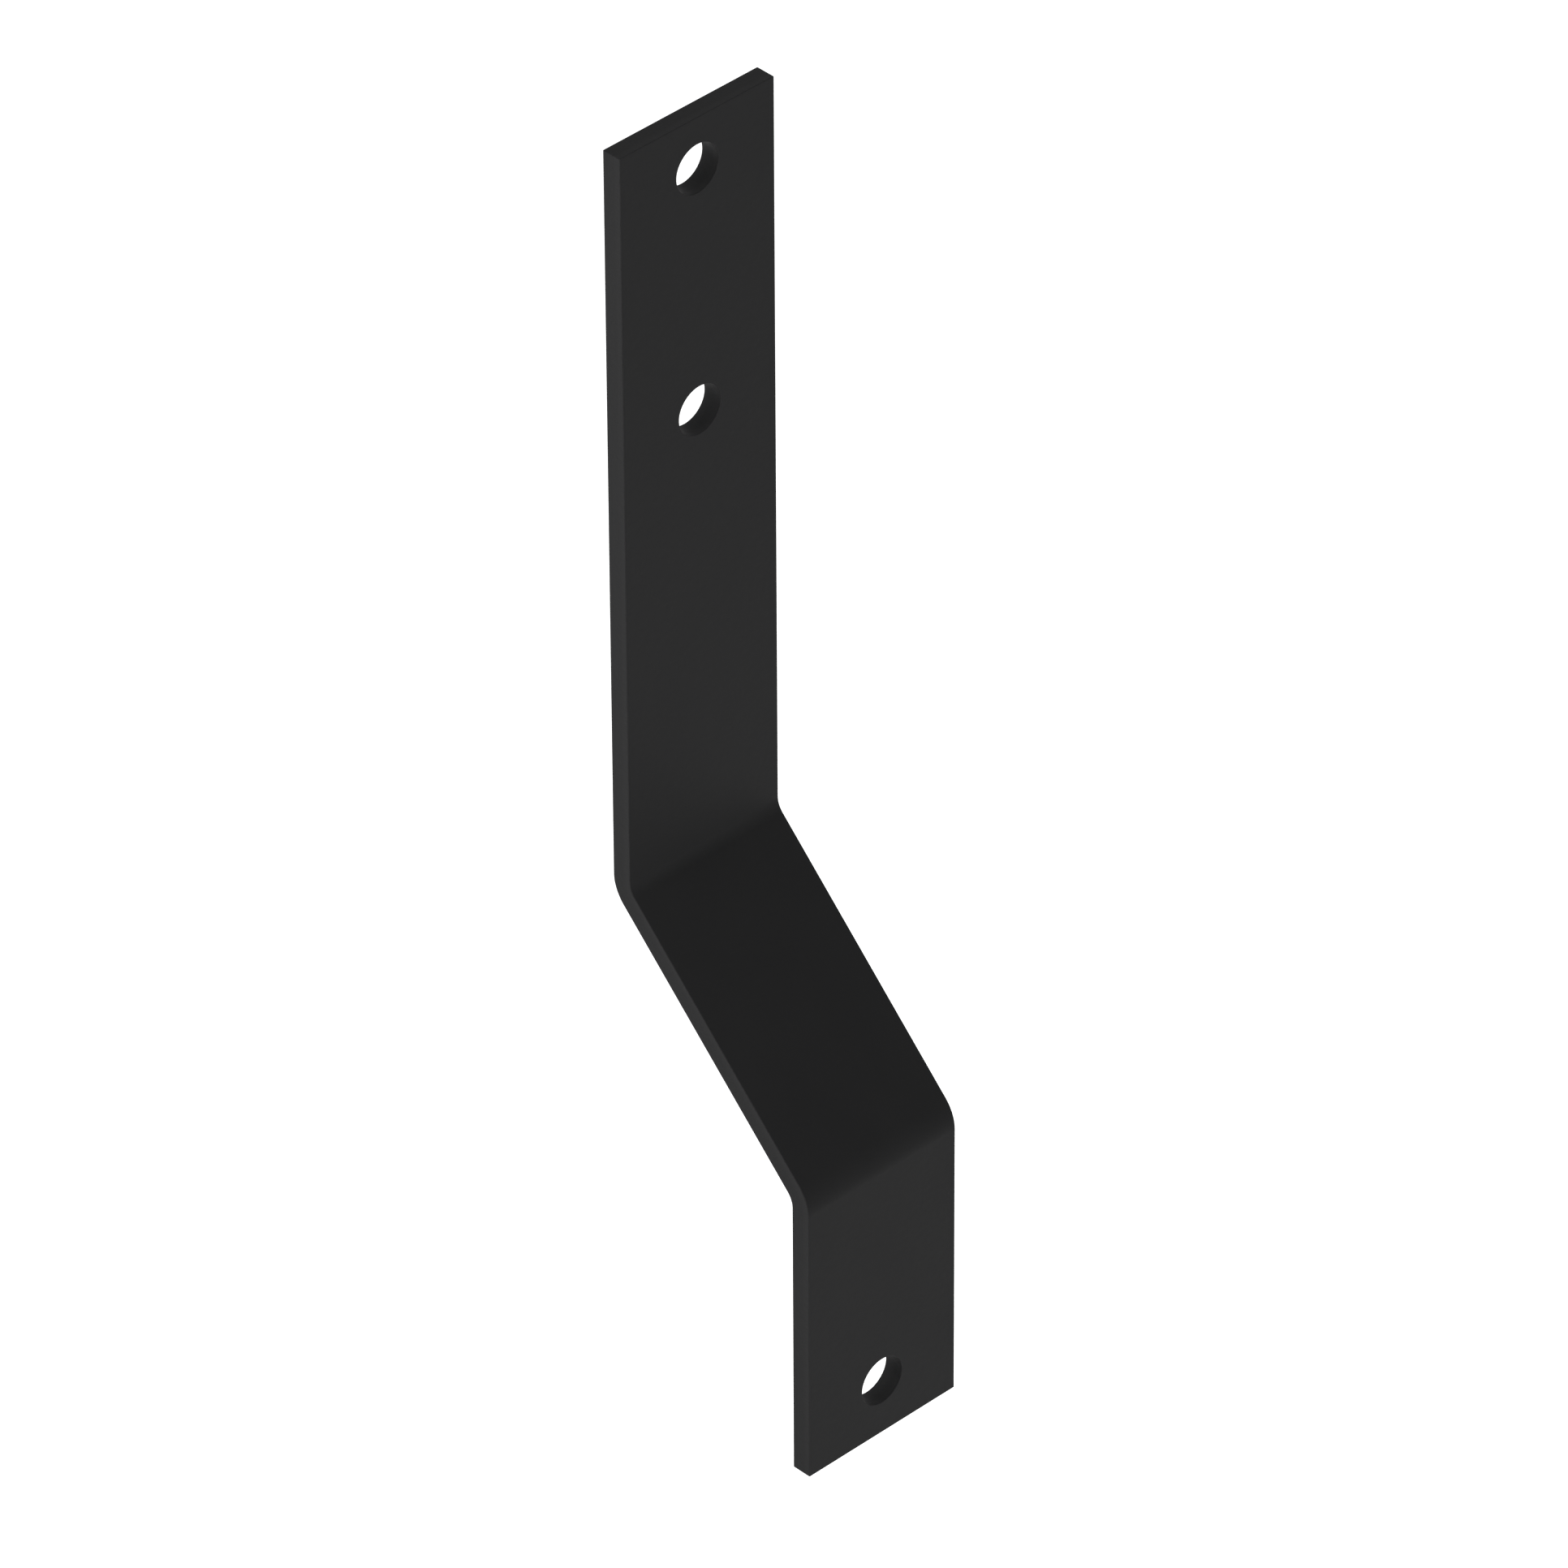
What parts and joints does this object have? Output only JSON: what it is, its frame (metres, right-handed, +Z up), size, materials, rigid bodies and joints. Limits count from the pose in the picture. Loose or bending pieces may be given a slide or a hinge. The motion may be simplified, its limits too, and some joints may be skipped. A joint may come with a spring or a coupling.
{
  "type": "heater hose bracket",
  "caption": "Folded steel strip bracket that bolts down by its foot and carries heater hose clips on an offset upright flange.",
  "frame": {"origin": "centre of the foot hole, on the face of the foot flange that seats", "axes": "+Z up the strip from foot to clip flange, +X across the strip's width, +Y along the holes, away from the foot's seat"},
  "size_m": [0.0264, 0.0356, 0.1905],
  "materials": {
    "black_coating": "satin black dip coating over mild steel sheet"
  },
  "bodies": {
    "root": {"hose_bracket": "black_coating"}
  },
  "joints": []
}
